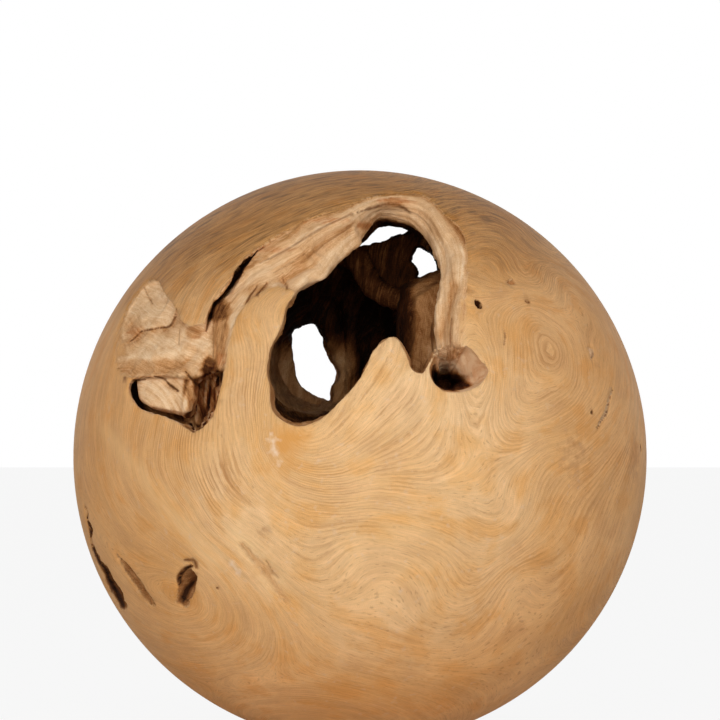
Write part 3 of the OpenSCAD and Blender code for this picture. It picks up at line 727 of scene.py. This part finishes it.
# One darker line to each ring, 2.2 mm apart, that fades in and out along its length
ring_pitch = 2.2
ring_count = sum_of(ring, 1 / ring_pitch)
ring_at = add(tree, "Math", {0: ring_count}, operation="FRACT").outputs[0]
ring_number = add(tree, "Math", {0: ring_count}, operation="FLOOR").outputs[0]
late = ramp(ring_at, (0.3, "#000000"), (0.86, "#ffffff"), (0.99, "#000000"))
ring_own = add(tree, "TexNoise", {"Vector": place, "W": ring_number, "Scale": 1 / 30, "Detail": 0},
               noise_dimensions="4D").outputs["Fac"]
late = sum_of(sum_of(late, ranged(ring_own, 0.38, 0.6)), read["figure"])

# Fibres: grains 0.8 mm wide, drawn out to 10 mm by adding them up along the fibre's way
drawn = None
for step in range(-4, 5):
    moved = {0: fibre_way, 1: (1.2 * step,) * 3, 2: place}
    at = add(tree, "VectorMath", moved, operation="MULTIPLY_ADD").outputs[0]
    grit = add(tree, "TexNoise", {"Vector": at, "Scale": 1 / 0.8, "Detail": 1}).outputs["Fac"]
    drawn = grit if drawn is None else sum_of(drawn, 1.0, grit)
streak = ranged(drawn, 4.0, 5.0)
crumbs = add(tree, "TexNoise", {"Vector": place, "Scale": 1 / 5, "Detail": 2}).outputs["Fac"]

# Turned skin: warm tan in broad soft patches, with thin brown growth lines and open pores
skin_now = ramp(hue, (0.32, "#d8a970"), (0.68, "#e8c08f"))
skin_now = mixed(ranged(mottle, 0.5, 0.66, 0.0, 0.6), skin_now, linear("#daa05a"))
skin_now = mixed(ranged(mottle, 0.48, 0.34, 0.0, 0.5), skin_now, linear("#d2a778"))
skin_now = mixed(1.0, skin_now, ranged(broad, 0.34, 0.66, 0.94, 1.07), "MULTIPLY")
line_share = sum_of(ranged(lines, 0.54, 0.68, 0.0, 0.6), read["figure"])
skin_now = mixed(line_share, skin_now, linear("#b07a44"))
skin_now = mixed(ranged(lines, 0.44, 0.3, 0.0, 0.15), skin_now, linear("#efca98"))
skin_now = mixed(1.0, skin_now, ranged(hairs, 0.3, 0.7, 1.03, 0.95), "MULTIPLY")
skin_now = mixed(sum_of(late, 0.6), skin_now, linear("#a87240"))
skin_now = mixed(1.0, skin_now, ranged(streak, 0.1, 0.9, 1.06, 0.92), "MULTIPLY")
skin_now = mixed(ranged(dash, 0.66, 0.74, 0.0, 0.3), skin_now, linear("#8a5c34"))
skin_now = mixed(sum_of(read["pale"], 0.5), skin_now, linear("#efcd9a"))
ragged = sum_of(crumbs, 0.7, -0.35)
stained = sum_of(read["stain"], 1.0, ragged)
skin_now = mixed(ranged(stained, 0.1, 0.8, 0.0, 0.7), skin_now, linear("#cf8d3c"))
filled = sum_of(ragged, 2.2, read["resin"])
skin_now = mixed(ranged(filled, 0.2, 0.7, 0.0, 0.6), skin_now, linear("#eedcc6"))
marked = sum_of(read["dark"], 1.0, ragged)
skin_now = mixed(ranged(marked, 0.1, 0.5, 0.0, 0.5), skin_now, linear("#8f5a2c"))
# Painted shade: the skin is painted darker and more orange towards the ball's outline and over its
# back
skin_now = mixed(read["outline_shade"], skin_now, mixed(1.0, skin_now, linear("#f4e3d0"), "MULTIPLY"))
# The top has weathered: duller and greyer, with short dark dashes along the grain
grey = mixed(1.0, skin_now, linear("#d1c8b2"), "MULTIPLY")
grey = mixed(ranged(flecks, 0.5, 0.66, 0.0, 0.75), grey, linear("#6b4a2c"))
grey = mixed(1.0, grey, ranged(streak, 0.2, 0.9, 1.2, 0.74), "MULTIPLY")
grey = mixed(1.0, grey, ranged(hairs, 0.36, 0.64, 1.1, 0.88), "MULTIPLY")
skin_now = mixed(read["weathered"], skin_now, grey)

# Raw torn wood, from fresh and pale to rotted and nearly black
worn = sum_of(ranged(streak, 0.0, 1.0, -0.06, 0.06), 1.0, read["tone"])
worn = sum_of(ranged(cords, 0.3, 0.7, -0.07, 0.07), 1.0, worn)
worn = sum_of(ranged(threads, 0.3, 0.7, -0.08, 0.08), 1.0, worn)
worn = sum_of(ranged(crumbs, 0.3, 0.7, -0.03, 0.03), 1.0, worn)
torn_now = ramp(worn, (0.0, "#f3d0a6"), (1.0, "#170903"), (0.2, "#dfb283"), (0.4, "#c28d5a"),
                (0.6, "#925f33"), (0.8, "#50290f"))
# Resin stains single fibres, so the raw wood looks streaked with rust-red there
resinous = sum_of(read["rust"], ranged(threads, 0.36, 0.58, 0.35, 1.2))
torn_now = mixed(resinous, torn_now, mixed(1.0, torn_now, linear("#e0a060"), "MULTIPLY"))
wood = mixed(read["torn"], skin_now, torn_now)
# Cracks are painted dark brown to nearly black: dark wood, and painted shade in the gap
wood = mixed(ranged(read["cracked"], 0.1, 0.5, 0.0, 0.75), wood, linear("#7d4a22"))
wood = mixed(ranged(read["cracked"], 0.4, 0.9, 0.0, 0.95), wood, linear("#2b1408"))
tree.links.new(wood, shader.inputs["Base Color"])
tree.links.new(ranged(read["torn"], 0.0, 1.0, 0.55, 0.85), shader.inputs["Roughness"])
shader.inputs["IOR"].default_value = 1.5
shader.inputs["Specular IOR Level"].default_value = 0.12

# Relief: a hair on the sanded skin, half a millimetre on raw fibres
high_streak = ranged(read["torn"], 0.0, 1.0, 0.12, 1.0)
height = sum_of(threads, 1.3, sum_of(cords, 1.0, sum_of(streak, 0.4)))
height = sum_of(height, high_streak)
bumps = {"Height": height, "Distance": 0.0005, "Strength": 1.0}
relief = add(tree, "Bump", bumps).outputs["Normal"]
tree.links.new(relief, shader.inputs["Normal"])
mesh.materials.append(teak)
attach(ball, "root")
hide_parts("ball")

# ---- Floor, light and camera ----
# A pale floor under the ball, two large soft lamps in front of it and an even sky.

floor_mesh = bpy.data.meshes.new("floor")
side = 60.0
floor_z = low.z
corners = [(-side, -side, floor_z), (side, -side, floor_z),
           (side, side, floor_z), (-side, side, floor_z)]
floor_mesh.from_pydata(corners, [], [(0, 1, 2, 3)])
floor = bpy.data.objects.new("floor", floor_mesh)
bpy.context.scene.collection.objects.link(floor)
paper = bpy.data.materials.new("white_paper")
paper.use_nodes = True
sheet = paper.node_tree
plain = sheet.nodes["Principled BSDF"]
plain.inputs["Base Color"].default_value = linear("#f4f4f2")
plain.inputs["Roughness"].default_value = 0.9
glow = add(sheet, "Emission", {"Color": (1, 1, 1, 1), "Strength": 1.0}).outputs[0]
seen = add(sheet, "LightPath", {})
# The floor looks nearly white and keeps a faint shadow
white_share = {0: seen.outputs["Is Camera Ray"], 1: 0.88}
straight = add(sheet, "Math", white_share, operation="MULTIPLY").outputs[0]
mixed_floor = add(sheet, "MixShader", {0: straight, 1: plain.outputs[0], 2: glow}).outputs[0]
sheet.links.new(mixed_floor, sheet.nodes["Material Output"].inputs["Surface"])
floor_mesh.materials.append(paper)

sky = bpy.data.worlds.new("studio")
bpy.context.scene.world = sky
sky.use_nodes = True
air = sky.node_tree
backdrop = air.nodes["Background"]
backdrop.inputs["Color"].default_value = (1, 1, 1, 1)
ray = add(air, "LightPath", {})
shown = ray.outputs["Is Camera Ray"]
for other in ("Is Glossy Ray", "Is Transmission Ray"):
    shown = add(air, "Math", {0: shown, 1: ray.outputs[other]}, operation="MAXIMUM").outputs[0]
level = add(air, "MapRange", {"Value": shown, "To Min": 0.35, "To Max": 1.0}).outputs[0]
air.links.new(level, backdrop.inputs["Strength"])

# [name, place in m, watts, side in m]
lamps = [["key", (-0.1, -2.2, 0.2), 31, 1.5], ["left", (-1.3, -1.6, 0.8), 3.5, 0.9],
         ["right", (1.3, -1.6, 0.9), 4.5, 0.9]]
for name, spot, power, size in lamps:
    lamp = bpy.data.lights.new(name, "AREA")
    lamp.energy = power
    lamp.size = size
    stand = bpy.data.objects.new(name, lamp)
    stand.location = spot
    stand.rotation_euler = (-Vector(spot)).to_track_quat("-Z", "Y").to_euler()
    bpy.context.scene.collection.objects.link(stand)

# The camera looks level at the ball's middle and is turned up by 1.6 degrees
distance = 2.4
picture = 720
zoom = 3427
middle_below = 96.4
lens = bpy.data.cameras.new("camera")
lens.sensor_width = 36
lens.lens = zoom / picture * lens.sensor_width
camera = bpy.data.objects.new("camera", lens)
camera.location = (0, -distance, 0)
camera.rotation_euler = (math.pi / 2 + math.atan(middle_below / zoom), 0, 0)
bpy.context.scene.collection.objects.link(camera)
bpy.context.scene.camera = camera
bpy.context.scene.view_settings.view_transform = "Standard"
